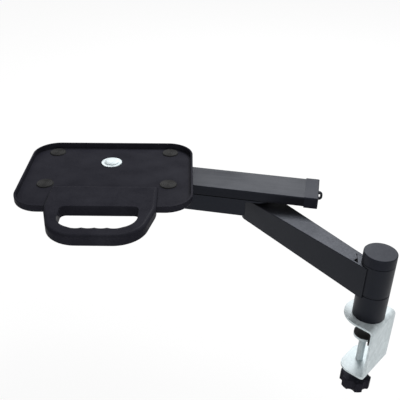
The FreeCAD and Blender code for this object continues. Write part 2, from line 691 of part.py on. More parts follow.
def build_upper_arm():
    """Channel under the rail, its slide guide and the elbow pin."""
    half = "rail_width / 2"
    web = "(beam_depth - beam_wall)"
    beam = new_body("beam_channel")
    profile = new_sketch(beam, "YZ_Plane", "beam_mouth")
    draw_polygon(profile, [(f"-{half}", "0"), (f"-{half}", "beam_depth"), (half, "beam_depth"), (half, "0"),
                           (f"{half} - beam_wall", "0"), (f"{half} - beam_wall", web),
                           (f"-{half} + beam_wall", web), (f"-{half} + beam_wall", "0")])
    pad(beam, profile, "beam_length - beam_mouth")
    plate = draw_rectangle(new_sketch(beam, "XY_Plane", web), "0", "beam_mouth", f"-{half}", half)
    pad(beam, plate, "beam_wall")
    pad(beam, draw_circle(new_sketch(beam, "XY_Plane", web), "0", "0", half), "beam_wall")
    low_edge = at_height("0")
    side_y = value_of(half)
    soften(beam, lambda edge: low_edge(edge) and abs(abs(edge.CenterOfMass.y) - side_y) < NEAR,
           "beam_wall / 3")
    pocket(beam, draw_circle(new_sketch(beam, "XY_Plane", "beam_depth"), "0", "0", "elbow_pin_radius"),
           "beam_wall")
    screw_spots = []
    for number in range(1, GUIDE_SCREWS + 1):
        screw_spots.append(f"(beam_length - guide_setback) * {number} / {GUIDE_SCREWS + 1}")
    for spot in screw_spots:
        hole = draw_circle(new_sketch(beam, "XY_Plane", "beam_depth"), spot, "0", "small_screw_radius")
        pocket(beam, hole, "beam_wall")
    keep(place(beam, "beam", z=f"({WEB_TOP} - beam_depth)"), "beam_channel")

    guide = new_body("slide_guide")
    neck = "rail_slot / 2 - glide_gap"
    head = "rail_width / 2 - rail_wall - glide_gap"
    head_low = "rail_lift + rail_wall + glide_gap"
    head_top = "rail_lift + rail_height - rail_wall - glide_gap"
    section = new_sketch(guide, "YZ_Plane", "-guide_tail")
    draw_polygon(section, [(f"-({neck})", "0"), (neck, "0"), (neck, head_low), (head, head_low),
                           (head, head_top), (f"-({head})", head_top), (f"-({head})", head_low),
                           (f"-({neck})", head_low)])
    pad(guide, section, "beam_length - guide_setback + guide_tail")
    for spot in screw_spots:
        hole = draw_circle(new_sketch(guide, "XY_Plane"), spot, "0", "small_screw_radius + running_gap")
        pocket(guide, hole, "small_screw_grip", True)
    keep(place(guide, "beam", z=WEB_TOP), "slide_guide")

    screws = []
    for spot in screw_spots:
        screw = new_body("guide_screw")
        tip = "small_head_thick + beam_wall + small_screw_grip - rim_chamfer"
        revolve(screw, [("0", "0"), ("small_head_radius", "0"), ("small_head_radius", "small_head_thick"),
                        ("small_screw_radius", "small_head_thick"), ("small_screw_radius", tip), ("0", tip)])
        screws.append(place(screw, "beam", spot, z=f"({WEB_BOTTOM} - small_head_thick)"))
    group("guide_screws", screws)

    pin_end = f"({NUT_SEAT} - elbow_nut_washer_thick - elbow_nut_thick - face_gap - pin_tail)"
    pin = new_body("elbow_pin")
    revolve(pin, [("0", "0"), ("elbow_pin_radius - rim_chamfer", "0"), ("elbow_pin_radius", "rim_chamfer"),
                  ("elbow_pin_radius", f"{WEB_TOP} - {pin_end}"), ("0", f"{WEB_TOP} - {pin_end}")])
    keep(place(pin, "beam", z=pin_end), "elbow_pin")
    ring("elbow_washer", "beam", "elbow_pin_radius", "elbow_washer_radius", f"({HUB_TOP} + face_gap)",
         f"({HUB_TOP} + face_gap + elbow_washer_thick)")
    washer_top = f"({NUT_SEAT} - face_gap)"
    washer_bottom = f"({washer_top} - elbow_nut_washer_thick)"
    ring("elbow_nut_washer", "beam", "elbow_pin_radius", "elbow_nut_washer_radius", washer_bottom, washer_top)
    hexagon("elbow_nut", "beam", "elbow_nut_flats", "elbow_pin_radius",
            f"({washer_bottom} - elbow_nut_thick)", washer_bottom)


def build_rail():
    """Sliding rail, its two ends and the swivel for the tray."""
    half = "rail_width / 2"
    inner = "rail_width / 2 - rail_wall"
    ceiling = "rail_height - rail_wall"
    slot = "rail_slot / 2"
    rail = new_body("slide_rail")
    profile = new_sketch(rail, "YZ_Plane", "-rail_tail")
    draw_polygon(profile, [(f"-{half}", "0"), (f"-{half}", "rail_height"), (half, "rail_height"), (half, "0"),
                           (slot, "0"), (slot, "rail_wall"), (inner, "rail_wall"), (inner, ceiling),
                           (f"-({inner})", ceiling), (f"-({inner})", "rail_wall"), (f"-{slot}", "rail_wall"),
                           (f"-{slot}", "0")])
    pad(rail, profile, f"rail_tail + {RAIL_NOSE}")
    run = value_of(RAIL_NOSE)
    side_y = value_of(half)
    soften(rail, lambda edge: edge.BoundBox.XLength > run and abs(abs(edge.CenterOfMass.y) - side_y) < NEAR,
           "rail_rounding")
    hole = draw_circle(new_sketch(rail, "XY_Plane", "rail_height"), "swivel_reach", "0", "swivel_bolt_radius")
    pocket(rail, hole, "rail_wall")
    keep(place(rail, "beam", z=RAIL_BOTTOM), "slide_rail")

    cap = new_body("rail_end_cap")
    outer = f"{half} + end_cap_proud"
    face = draw_rectangle(new_sketch(cap, "YZ_Plane"), f"-({outer})", outer, "-end_cap_below",
                          "rail_height + end_cap_proud")
    body = pad(cap, face, "end_cap_length")
    body.Reversed = True
    doc.recompute()
    middle_x = -value_of("end_cap_length / 2")
    soften(cap, lambda edge: edge.BoundBox.XMin < middle_x, "rail_rounding")
    plug_side = f"{inner} - glide_gap / 2"
    plug = draw_rectangle(new_sketch(cap, "YZ_Plane"), f"-({plug_side})", plug_side,
                          "rail_wall + glide_gap / 2", f"{ceiling} - glide_gap / 2")
    pad(cap, plug, "plug_depth")
    middle = "rail_height / 2 + loop_rise"
    loop = draw_rectangle(new_sketch(cap, "XZ_Plane", "-loop_side"), "-end_cap_length - loop_reach",
                          "-end_cap_length + rail_rounding", f"{middle} - loop_height / 2",
                          f"{middle} + loop_height / 2")
    pad(cap, loop, "loop_thick", True)
    tip_x = value_of("-end_cap_length - loop_reach")
    soften(cap, lambda edge: abs(edge.CenterOfMass.x - tip_x) < NEAR and edge.BoundBox.YLength > NEAR,
           "loop_corner")
    eye = draw_rectangle(new_sketch(cap, "XZ_Plane", "-loop_side"),
                         "-end_cap_length - loop_reach + loop_band", "-end_cap_length",
                         f"{middle} - loop_height / 2 + loop_band",
                         f"{middle} + loop_height / 2 - loop_band")
    centred_pocket(cap, eye, "loop_thick")
    keep(place(cap, "beam", "-rail_tail", z=RAIL_BOTTOM), "rail_end_cap")

    nose = new_body("rail_nose_plug")
    flange = draw_rectangle(new_sketch(nose, "YZ_Plane"), f"-{half}", half, "0", "rail_height")
    pad(nose, flange, "nose_plug_flange")
    outer_x = value_of("nose_plug_flange") - NEAR
    soften(nose, lambda edge: edge.CenterOfMass.x > outer_x, "rail_rounding")
    stem = draw_rectangle(new_sketch(nose, "YZ_Plane"), f"-({plug_side})", plug_side,
                          "rail_wall + glide_gap / 2", f"{ceiling} - glide_gap / 2")
    feature = pad(nose, stem, "plug_depth")
    feature.Reversed = True
    doc.recompute()
    keep(place(nose, "beam", RAIL_NOSE, z=RAIL_BOTTOM), "rail_nose_plug")

    ring("swivel_disc", "tray", "swivel_bolt_radius", "swivel_disc_radius", RAIL_TOP, DISC_TOP)
    washer_bottom = f"({FLOOR_TOP} + glide_gap)"
    washer_top = f"({washer_bottom} + swivel_washer_thick)"
    ring("swivel_washer", "tray", "swivel_bolt_radius", "swivel_washer_radius", washer_bottom, washer_top)
    nut_top = f"({RAIL_TOP} - rail_wall)"
    nut_bottom = f"({nut_top} - swivel_nut_thick)"
    bolt = new_body("swivel_bolt")
    grip = f"{washer_top} - {nut_bottom}"
    revolve(bolt, [("0", "0"), ("swivel_bolt_radius", "0"), ("swivel_bolt_radius", grip),
                   ("swivel_head_radius", grip), ("swivel_head_radius", f"{grip} + swivel_head_thick / 2"),
                   ("swivel_head_radius - swivel_head_thick", f"{grip} + swivel_head_thick"),
                   ("0", f"{grip} + swivel_head_thick")])
    keep(place(bolt, "tray", z=nut_bottom), "swivel_bolt")
    hexagon("swivel_nut", "tray", "swivel_nut_flats", "swivel_bolt_radius", nut_bottom, nut_top)


def build_tray():
    """Shallow tray with its pull handle, screws and grip pads."""
    half = "tray_width / 2"
    tray = new_body("phone_tray")
    outside = draw_rounded_rectangle(new_sketch(tray, "XY_Plane"), f"-{half}", half,
                                     "-tray_front", "tray_back", "tray_corner")
    pad(tray, outside, "tray_height")
    soften(tray, at_height("0"), "tray_rounding")
    soften(tray, at_height("tray_height"), "tray_wall / 3")
    inside = draw_rounded_rectangle(new_sketch(tray, "XY_Plane", "tray_height"), f"-{half} + tray_wall",
                                    f"{half} - tray_wall", "-tray_front + tray_wall", "tray_back - tray_wall",
                                    "(tray_corner - tray_wall)")
    pocket(tray, inside, "tray_height - tray_floor")
    door = draw_rectangle(new_sketch(tray, "XY_Plane", "tray_height"), "-handle_width / 2 - handle_gap",
                          "handle_width / 2 + handle_gap", "-tray_front - handle_gap",
                          "-tray_front + tray_wall * 2")
    pocket(tray, door, "tray_height - tray_floor")
    pocket(tray, draw_circle(new_sketch(tray, "XY_Plane", "tray_floor"), "0", "0",
                             "swivel_bolt_radius + running_gap"), "tray_floor")
    screw_spots = []
    spread = "(handle_width / 2 - handle_screw_inset)"
    for side in (f"-{spread}", spread):
        for depth in ("-handle_screw_front", "-handle_screw_rear"):
            screw_spots.append((side, depth))
    for x, y in screw_spots:
        hole = draw_circle(new_sketch(tray, "XY_Plane", "tray_floor"), x, y, "small_screw_radius")
        pocket(tray, hole, "tray_floor")
    keep(place(tray, "tray", z=TRAY_BOTTOM), "phone_tray")

    handle = new_body("pull_handle")
    side = "handle_width / 2"
    outline = [(f"-{side}", "-handle_shoulder"), (f"-{HANDLE_NOSE} / 2", "-handle_front"),
               (f"{HANDLE_NOSE} / 2", "-handle_front"), (side, "-handle_shoulder"), (side, "-handle_rear"),
               (f"-{side}", "-handle_rear")]
    pad(handle, draw_polygon(new_sketch(handle, "XY_Plane"), outline), "handle_thick")
    soften(handle, upright_at_y("-handle_front"), "handle_corner")
    soften(handle, upright_at_y("-handle_shoulder"), "shoulder_rounding")
    soften(handle, at_height("handle_thick"), "handle_rounding")
    soften(handle, at_height("0"), "handle_rounding / 3")
    floor_step = f"{FLOOR_TOP} - ({HANDLE_TOP} - handle_thick)"
    rebate = draw_rectangle(new_sketch(handle, "XY_Plane"), f"-{side} - handle_gap", f"{side} + handle_gap",
                            "-tray_front - handle_gap", "-handle_rear + handle_gap")
    pocket(handle, rebate, floor_step, True)
    hole_front = "-handle_front + front_bar + scallop_depth"
    grip = draw_rounded_rectangle(new_sketch(handle, "XY_Plane"), f"-{HOLE_WIDTH} / 2", f"{HOLE_WIDTH} / 2",
                                  hole_front, "-hole_back", "hole_front_corner", "hole_back_corner")
    pocket(handle, grip, "handle_thick", True)
    pitch = f"({HOLE_WIDTH} - 2 * scallop_margin) / {SCALLOPS}"
    for index in range(SCALLOPS):
        scallop = new_sketch(handle, "XY_Plane")
        draw_circle(scallop, f"{pitch} * ({index} - {(SCALLOPS - 1) / 2})",
                    "-handle_front + front_bar + scallop_radius", "scallop_radius")
        pocket(handle, scallop, "handle_thick", True)
    for x, y in screw_spots:
        hole = draw_circle(new_sketch(handle, "XY_Plane"), x, y, "small_screw_radius")
        pocket(handle, hole, f"{floor_step} + small_screw_grip / 2", True)
    keep(place(handle, "tray", z=f"({HANDLE_TOP} - handle_thick)"), "pull_handle")

    screws = []
    for x, y in screw_spots:
        screw = new_body("handle_screw")
        tip = "small_head_thick + tray_floor + small_screw_grip / 2 - rim_chamfer"
        revolve(screw, [("0", "0"), ("small_head_radius", "0"), ("small_head_radius", "small_head_thick"),
                        ("small_screw_radius", "small_head_thick"), ("small_screw_radius", tip), ("0", tip)])
        screws.append(place(screw, "tray", x, y, f"({TRAY_BOTTOM} - small_head_thick)"))
    group("handle_screws", screws)

    pads = []
    for x in ("-pad_spread", "pad_spread"):
        for y in ("-pad_front", "pad_rear"):
            body = new_body("grip_pad")
            revolve(body, [("0", "0"), ("pad_radius", "0"), ("pad_radius - pad_height / 2", "pad_height"),
                           ("0", "pad_height")])
            pads.append(place(body, "tray", x, y, FLOOR_TOP))
    group("grip_pads", pads)


build_clamp()
build_post()
build_lower_arm()
build_upper_arm()
build_rail()
build_tray()
doc.recompute()

for item in doc.Objects:
    faults = [state for state in item.State if state in ("Invalid", "Error")]
    if faults:
        raise RuntimeError(f"{item.Name} is {faults}")
for part in nodes:
    if part.Shape.isNull() or not part.Shape.isValid():
        raise RuntimeError(f"{part.Label} has no valid shape")

os.makedirs("parts", exist_ok=True)
for part in nodes:
    part.Shape.exportStep(f"parts/{part.Label}.step")
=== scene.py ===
"""Looks of a phone holder arm: finishes for every solid, turned details, studio and camera.

The arm clamps to a desk edge. The origin is on the post axis at the desk top, +Z is up and +Y runs
across the desk, away from the user. Sub-assemblies hold their sizes in millimetres and the studio
in metres. Every mesh is made in metres, in the frame of the solids.
"""
import logging
import math
from dataclasses import dataclass, field
from enum import Enum
from typing import Any

import bpy
import numpy as np
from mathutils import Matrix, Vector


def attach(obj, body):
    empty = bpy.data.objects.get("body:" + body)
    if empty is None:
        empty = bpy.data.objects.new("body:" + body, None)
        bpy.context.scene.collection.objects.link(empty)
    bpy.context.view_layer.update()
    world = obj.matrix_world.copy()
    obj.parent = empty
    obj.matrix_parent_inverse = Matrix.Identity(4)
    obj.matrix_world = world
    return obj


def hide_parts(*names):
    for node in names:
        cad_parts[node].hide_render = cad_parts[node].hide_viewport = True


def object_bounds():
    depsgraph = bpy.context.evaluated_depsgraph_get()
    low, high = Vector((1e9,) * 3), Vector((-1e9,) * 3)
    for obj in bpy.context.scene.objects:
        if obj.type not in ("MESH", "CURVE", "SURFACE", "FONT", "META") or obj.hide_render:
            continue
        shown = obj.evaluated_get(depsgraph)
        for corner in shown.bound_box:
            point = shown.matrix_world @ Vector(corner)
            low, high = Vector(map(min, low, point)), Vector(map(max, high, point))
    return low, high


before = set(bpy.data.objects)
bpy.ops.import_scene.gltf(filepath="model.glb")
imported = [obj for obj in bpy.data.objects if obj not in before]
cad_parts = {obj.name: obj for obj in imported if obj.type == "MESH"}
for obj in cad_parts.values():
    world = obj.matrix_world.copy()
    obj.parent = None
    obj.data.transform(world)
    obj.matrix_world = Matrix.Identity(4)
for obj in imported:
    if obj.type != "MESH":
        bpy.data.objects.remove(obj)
CAD_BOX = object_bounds()

MM = 0.001
FULL_TURN = 2.0 * math.pi
WHITE = "#ffffff"
PAPER_WHITE = "#f4f4f4"
# An edge between faces that turn by more than this stays sharp.
SHARP_EDGE_DEG = 35.0
# Socket numbers of a Mix node for colours: its share, its two colours and its result.
MIX_SHARE, MIX_FIRST, MIX_SECOND, MIX_RESULT = 0, 6, 7, 2

logging.basicConfig(level=logging.INFO, format="%(name)s: %(message)s")
log = logging.getLogger("phone_holder_arm")


class Body(Enum):
    """Rigid bodies that new pieces ride on."""

    LOWER_ARM = "lower_arm"
    TRAY = "tray"
    CLAMP_SCREW = "clamp_screw"


class Slot(Enum):
    """Material slots of the record. No piece in this script takes its finish from them."""

    ZINC = "zinc_steel"
    RUBBER = "black_rubber"


class Relief(Enum):
    """Pattern of a finish's fine relief."""

    GRAIN = "grain"
    SPANGLE = "spangle"


def linear(code: str) -> tuple[float, float, float, float]:
    """Linear colour of an sRGB hex value.

    Args:
        code: Six hex digits after a hash sign.

    Returns:
        Red, green, blue and an alpha of one.
    """
    shares = np.array([int(code[place:place + 2], 16) for place in (1, 3, 5)]) / 255.0
    values = np.where(shares <= 0.04045, shares / 12.92, ((shares + 0.055) / 1.055) ** 2.4)
    return (*values.tolist(), 1.0)


def add_node(tree: bpy.types.NodeTree, kind: str, inputs: dict[Any, Any] | None = None,
             **settings: Any) -> bpy.types.Node:
    """Add a node with its settings, and fill or link its inputs.

    Args:
        tree: Node tree that gets the node.
        kind: Blender's name for the node type.
        inputs: Value or output socket for each input, by name or number.
        **settings: Attributes of the node itself.

    Returns:
        The new node.
    """
    node = tree.nodes.new(kind)
    for name, value in settings.items():
        setattr(node, name, value)
    for key, value in (inputs or {}).items():
        if isinstance(value, bpy.types.NodeSocket):
            tree.links.new(value, node.inputs[key])
        else:
            node.inputs[key].default_value = value
    return node


def bare_tree(owner: bpy.types.Material | bpy.types.World) -> bpy.types.NodeTree:
    """Empty the node tree of a material or of the world.

    Args:
        owner: Material or world.

    Returns:
        Its node tree.
    """
    owner.use_nodes = True
    owner.node_tree.nodes.clear()
    return owner.node_tree


def put(name: str, data: bpy.types.ID) -> bpy.types.Object:
    """Put a new object into the scene, at the origin.

    Args:
        name: Name of the object.
        data: Its mesh, lamp or camera.

    Returns:
        The new object.
    """
    made = bpy.data.objects.new(name, data)
    bpy.context.scene.collection.objects.link(made)
    return made


@dataclass(frozen=True)
class Finish:
    """A real material with the grain, tone and gloss of its surface.

    Sizes of the grain and of the soft clouds of tone are in millimetres on the object. The gloss
    values are the roughness of the dark and of the pale tone. The tones change where the pattern
    goes from tone_low to tone_high.
    """

    name: str
    relief: Relief
    dark: str
    pale: str
    metallic: float
    gloss_low: float
    gloss_high: float
    grain_mm: float
    grain_depth_mm: float
    cloud_mm: float
    specular: float = 0.5
    sheen: str = WHITE
    ior: float = 1.5
    stretch: float = 1.0
    turn_deg: float = 0.0
    grain_detail: float = 3.0
    grain_roughness: float = 0.55
    cloud_detail: float = 4.0
    tone_low: float = 0.1
    tone_high: float = 0.45
    bump_strength: float = 0.6

    def per_metre(self, size_mm: float) -> float:
        """Noise scale that gives features of one size."""
        return 1.0 / (size_mm * MM)

    def grain(self, tree: bpy.types.NodeTree,
              spot: bpy.types.NodeSocket) -> bpy.types.NodeSocket:
        """Fine height pattern of the surface, turned about Z and then stretched along X.

        Args:
            tree: Node tree of the material.
            spot: Socket with the object coordinates.

        Returns:
            Socket with the height from 0 to 1.
        """
        along = add_node(tree, "ShaderNodeMapping",
                         {"Vector": spot, "Rotation": (0.0, 0.0, -math.radians(self.turn_deg))})
        laid = add_node(tree, "ShaderNodeMapping",
                        {"Vector": along.outputs[0], "Scale": (1.0 / self.stretch, 1.0, 1.0)})
        inputs = {"Vector": laid.outputs[0], "Scale": self.per_metre(self.grain_mm)}
        if self.relief is Relief.SPANGLE:
            return add_node(tree, "ShaderNodeTexVoronoi", inputs).outputs["Color"]
        inputs |= {"Detail": self.grain_detail, "Roughness": self.grain_roughness}
        return add_node(tree, "ShaderNodeTexNoise", inputs).outputs[0]

    def material(self) -> bpy.types.Material:
        """Node material: two tones in soft clouds, gloss that follows them, and fine relief.

        Returns:
            The new material.
        """
        made = bpy.data.materials.new(self.name)
        tree = bare_tree(made)
        spot = add_node(tree, "ShaderNodeTexCoord").outputs["Object"]
        clouds = add_node(tree, "ShaderNodeTexNoise",
                          {"Vector": spot, "Scale": self.per_metre(self.cloud_mm),
                           "Detail": self.cloud_detail})
        fine = self.grain(tree, spot)
        blend = add_node(tree, "ShaderNodeMath", {0: clouds.outputs[0], 1: fine},
                         operation="MULTIPLY")
        share = add_node(tree, "ShaderNodeMapRange",
                         {"Value": blend.outputs[0],
                          "From Min": self.tone_low, "From Max": self.tone_high})
        tone = add_node(tree, "ShaderNodeMix",
                        {MIX_SHARE: share.outputs[0], MIX_FIRST: linear(self.dark),
                         MIX_SECOND: linear(self.pale)}, data_type="RGBA")
        gloss = add_node(tree, "ShaderNodeMapRange",
                         {"Value": share.outputs[0],
                          "To Min": self.gloss_low, "To Max": self.gloss_high})
        bump = add_node(tree, "ShaderNodeBump",
                        {"Height": fine, "Strength": self.bump_strength,
                         "Distance": self.grain_depth_mm * MM})
        shader = add_node(tree, "ShaderNodeBsdfPrincipled",
                          {"Base Color": tone.outputs[MIX_RESULT], "Roughness": gloss.outputs[0],
                           "Normal": bump.outputs[0], "Metallic": self.metallic,
                           "Specular IOR Level": self.specular,
                           "Specular Tint": linear(self.sheen), "IOR": self.ior})
        add_node(tree, "ShaderNodeOutputMaterial", {"Surface": shader.outputs[0]})
        return made


# Cool cast of the sheen on satin black.
COOL_SHEEN = "#d8e5ff"
# Satin black polyester powder coat on steel: a soft sheen on faces that lie flat, with a fine peel.
# The real peel is about 0.8 mm and is drawn at 2.4 mm so that it shows.
POWDER_COAT = Finish("satin_black_powder_coat", Relief.GRAIN, "#0d0d10", "#131316", 0.0, 0.38, 0.58,
                     grain_mm=2.4, grain_depth_mm=0.02, cloud_mm=45.0, specular=0.2,
                     sheen=COOL_SHEEN)
# Black anodised aluminium extrusion: the same satin black with faint die lines along the rail.
# Die lines are about 0.3 mm apart and are drawn at 1.6 mm so that they show, 60 times as long and
# turned to the rail's heading.
ANODISED = Finish("black_anodised_aluminium", Relief.GRAIN, "#0d0d10", "#131316", 0.0, 0.36, 0.6,
                  grain_mm=1.6, grain_depth_mm=0.01, cloud_mm=60.0, specular=0.14,
                  sheen=COOL_SHEEN, stretch=60.0, turn_deg=166.9)
# Blue-grey zinc plate on folded steel: pale and cloudy, with a faint spangle of 5 mm. Its dull
# skin of oxide scatters more light than it mirrors, so it is only slightly metallic.
ZINC_PLATE = Finish("zinc_plated_steel", Relief.SPANGLE, "#b6c0c3", "#c8d1d4", 0.1, 0.55, 0.65,
                    grain_mm=5.0, grain_depth_mm=0.01, cloud_mm=14.0)
# Moulded ABS with a spark-eroded grain: deep black, duller than the paint. Its IOR and specular
# level are lower than is usual for ABS, to match the object's dull black.
# The grain is about 0.4 mm and is drawn at 1.5 mm so that it shows.
MOULDED_ABS = Finish("moulded_black_abs", Relief.GRAIN, "#1c1c22", "#2a2a30", 0.0, 0.24, 0.38,
                     grain_mm=1.5, grain_depth_mm=0.02, cloud_mm=35.0, specular=0.02, ior=1.25)
# ABS with a satin face and a cool sheen like the paint's, for the caps on the post and the rail.
# Its grain is as wide as the other's and a little shallower.
SATIN_ABS = Finish("satin_black_abs", Relief.GRAIN, "#17181d", "#1f2026", 0.0, 0.42, 0.58,
                   grain_mm=1.5, grain_depth_mm=0.015, cloud_mm=35.0, specular=0.1,
                   sheen=COOL_SHEEN)
# Turned acetal: a smooth, slightly waxy dark grey bearing plastic with fine tool marks.
# The marks are about 0.2 mm and are drawn at 1 mm so that they show.
ACETAL = Finish("turned_acetal", Relief.GRAIN, "#1a1b1d", "#242528", 0.0, 0.4, 0.5,
                grain_mm=1.0, grain_depth_mm=0.008, cloud_mm=20.0, specular=0.3)
# Moulded nitrile rubber: matt black with a dusty bloom.
# Its grit is about 0.3 mm and is drawn at 1.2 mm so that it shows.
NITRILE = Finish("moulded_nitrile_rubber", Relief.GRAIN, "#0f0f10", "#1a1a1a", 0.0, 0.72, 0.88,
                 grain_mm=1.2, grain_depth_mm=0.04, cloud_mm=18.0, specular=0.2)


@dataclass
class Skin:
    """Closed surface of rows of points round an axis, or several copies of it.

    The array has the shape (copies, rows, columns, 3). Each row is a closed ring, rows join their
    neighbours in quads, and the first and last rows close on a pole at their middle.
    """

    points: np.ndarray

    def mesh(self, name: str) -> bpy.types.Mesh:
        """Mesh of the surface.

        Args:
            name: Name of the mesh.

        Returns:
            Smooth-shaded mesh with closed seams and poles.
        """
        copies, rows, columns, _ = self.points.shape
        ring_points = rows * columns
        poles = self.points[:, [0, -1]].mean(axis=2)
        corners = np.concatenate([self.points.reshape(copies, ring_points, 3), poles], axis=1)
        around = np.arange(columns)
        after = (around + 1) % columns
        start = np.arange(rows - 1)[:, None] * columns
        quads = np.stack([start + around, start + after,
                          start + columns + after, start + columns + around], axis=-1)
        last = ring_points - columns
        first_fan = np.stack([np.full(columns, ring_points), after, around], axis=-1)
        last_fan = np.stack([np.full(columns, ring_points + 1), last + around, last + after],
                            axis=-1)
        shift = np.arange(copies)[:, None, None] * (ring_points + 2)
        faces = (quads.reshape(1, -1, 4) + shift).reshape(-1, 4).tolist()
        for fan in (first_fan, last_fan):
            faces += (fan[None] + shift).reshape(-1, 3).tolist()
        made = bpy.data.meshes.new(name)
        made.from_pydata(corners.reshape(-1, 3).tolist(), [], faces)
        made.shade_smooth()
        made.set_sharp_from_angle(angle=math.radians(SHARP_EDGE_DEG))
        return made


class Workshop:
    """Materials made once, and the dressing of solids and new pieces."""

    def __init__(self) -> None:
        """Start with no material made."""
        self.made: dict[str, bpy.types.Material] = {}

    def material(self, finish: Finish) -> bpy.types.Material:
        """Material of a finish, made at its first use.

        Args:
            finish: Finish that is asked for.

        Returns:
            Its material.
        """
        if finish.name not in self.made:
            self.made[finish.name] = finish.material()
        return self.made[finish.name]

    def dress(self, node: str, finish: Finish) -> None:
        """Give a solid its finish.

        Args:
            node: Name of the solid.
            finish: Finish that all its faces get.
        """
        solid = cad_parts[node]
        solid.data.materials.clear()
        solid.data.materials.append(self.material(finish))
        log.info("%s is %s", node, finish.name)

    def piece(self, name: str, shape: Skin, finish: Finish, body: Body,
              stands_for: str) -> None:
        """Make an object of a skin and let it ride on a body.

        Args:
            name: Name of the piece.
            shape: Its surface in metres.
            finish: Its finish.
            body: Body that carries it.
            stands_for: Solid that it replaces in the picture.
        """
        made = put(name, shape.mesh(name))
        made.data.materials.append(self.material(finish))
        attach(made, body.value)
        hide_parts(stands_for)
        log.info("%s rides on %s", name, body.value)


def turned(radii: np.ndarray, heights: np.ndarray, columns: int) -> np.ndarray:
    """Rows of a turned surface.

    Each point is (r cos a, r sin a, z), with r and z by row and a even round the circle. A radius
    array with a second axis varies round the circle too.

    Args:
        radii: Radius by row, or by row and column.
        heights: Height by row.
        columns: Points round the circle.

    Returns:
        Array of rows, columns and 3 coordinates.
    """
    angle = np.linspace(0.0, FULL_TURN, columns, endpoint=False)
    reach = np.broadcast_to(radii.reshape(len(radii), -1), (len(radii), columns))
    level = np.broadcast_to(heights[:, None], reach.shape)
    return np.stack([reach * np.cos(angle), reach * np.sin(angle), level], axis=-1)


def heading(angle_deg: float) -> np.ndarray:
    """Matrix that turns local X and Y by an angle about Z.

    Args:
        angle_deg: Angle in degrees, counted from +X to +Y.

    Returns:
        Matrix of 3 by 3.
    """
    angle = math.radians(angle_deg)
    return np.array([[math.cos(angle), -math.sin(angle), 0.0],
                     [math.sin(angle), math.cos(angle), 0.0],
                     [0.0, 0.0, 1.0]])


@dataclass
class SocketScrew:
    """Button-head screw with a hexagon socket. Its seat is at height 0 and its head points up.

    A share is of the size it belongs to: the rim's of the head's thickness, the crown's of the
    socket's flats, the tip's of the shank's radius, the floor's and the drill mark's of the socket.
    """

    shank_length: float
    shank_radius: float = 2.0
    tip_share: float = 0.8
    tip_length: float = 0.4
    head_radius: float = 4.0
    head_thick: float = 2.4
    rim_share: float = 0.3
    crown_share: float = 0.75
    socket_flats: float = 3.0
    socket_depth: float = 1.3
    floor_share: float = 0.97
    drill_share: float = 0.3
    drill_depth: float = 0.2
    dome_rows: int = 8
    columns: int = 48

    def rows(self) -> np.ndarray:
        """Surface of one screw in millimetres.

        The head is a quarter ellipse from the rim to the socket. The socket's radius at angle a is
        half its flats over the cosine of the angle from the nearest flat.

        Returns:
            Array of rows, columns and 3 coordinates.
        """
        angle = np.linspace(0.0, FULL_TURN, self.columns, endpoint=False)
        flat_half = math.pi / 6
        hexagon = self.socket_flats / 2 / np.cos((angle + flat_half) % (2 * flat_half) - flat_half)
        swing = np.linspace(0.0, math.pi / 2, self.dome_rows)
        rim = self.head_thick * self.rim_share
        crown = self.socket_flats * self.crown_share
        dome_r = crown + (self.head_radius - crown) * np.cos(swing)
        dome_z = rim + (self.head_thick - rim) * np.sin(swing)
        stem_r = np.array([self.shank_radius * self.tip_share, self.shank_radius,
                           self.shank_radius, self.head_radius])
        stem_z = np.array([-self.shank_length, self.tip_length - self.shank_length, 0.0, 0.0])
        round_r = np.repeat(np.concatenate([stem_r, dome_r])[:, None], self.columns, axis=1)
        floor = self.head_thick - self.socket_depth
        radii = np.vstack([round_r, hexagon, hexagon * self.floor_share,
                           hexagon * self.drill_share])
        heights = np.concatenate([stem_z, dome_z,
                                  [self.head_thick, floor, floor - self.drill_depth]])
        return turned(radii, heights, self.columns)


@dataclass
class SubAssembly:
    """Pieces that belong together, with the finish of each of their solids."""

    finishes: dict[str, Finish] = field(default_factory=dict)

    def dress(self, shop: Workshop) -> None:
        """Give the solids their finishes."""
        for node, finish in self.finishes.items():
            shop.dress(node, finish)

    def build(self, shop: Workshop) -> None:
        """Make the new pieces, of which a plain sub-assembly has none."""


@dataclass
class DeskClamp(SubAssembly):
    """Folded bracket with its screw, foot and knob under the desk."""

    screw_radius: float = 5.0
    screw_top: float = -30.65
    screw_bottom: float = -116.5
    thread_pitch: float = 2.0
    thread_depth: float = 0.9
    thread_columns: int = 40
    rows_per_pitch: int = 8
    finishes: dict[str, Finish] = field(default_factory=lambda: {
        "clamp_bracket": ZINC_PLATE, "weld_nut": ZINC_PLATE, "pressure_foot": ZINC_PLATE,
        "fixing_screw": ZINC_PLATE, "desk_pad": NITRILE, "foot_pad": NITRILE,
        "star_knob": MOULDED_ABS, "clamp_screw": ZINC_PLATE})

    def threaded_rod(self) -> Skin:
        """Screw whose radius falls from the crest by a triangle wave of height less turn.

        The wave is twice the distance of (z / pitch - a / 360 degrees) from the nearest whole
        number, and it fades out over one pitch at both ends.

        Returns:
            Surface in metres.
        """
        pitches = (self.screw_top - self.screw_bottom) / self.thread_pitch
        height = np.linspace(self.screw_bottom, self.screw_top, int(pitches * self.rows_per_pitch))
        turn = np.linspace(0.0, 1.0, self.thread_columns, endpoint=False)
        phase = height[:, None] / self.thread_pitch - turn
        wave = 2.0 * np.abs(phase - np.round(phase))
        ends = np.minimum(height - self.screw_bottom, self.screw_top - height) / self.thread_pitch
        fade = np.clip(ends, 0.0, 1.0)[:, None]
        radius = self.screw_radius - self.thread_depth * wave * fade
        return Skin(turned(radius, height, self.thread_columns)[None] * MM)

    def build(self, shop: Workshop) -> None:
        """Make the thread."""
        shop.piece("clamp_screw_thread", self.threaded_rod(), ZINC_PLATE,
                   Body.CLAMP_SCREW, "clamp_screw")


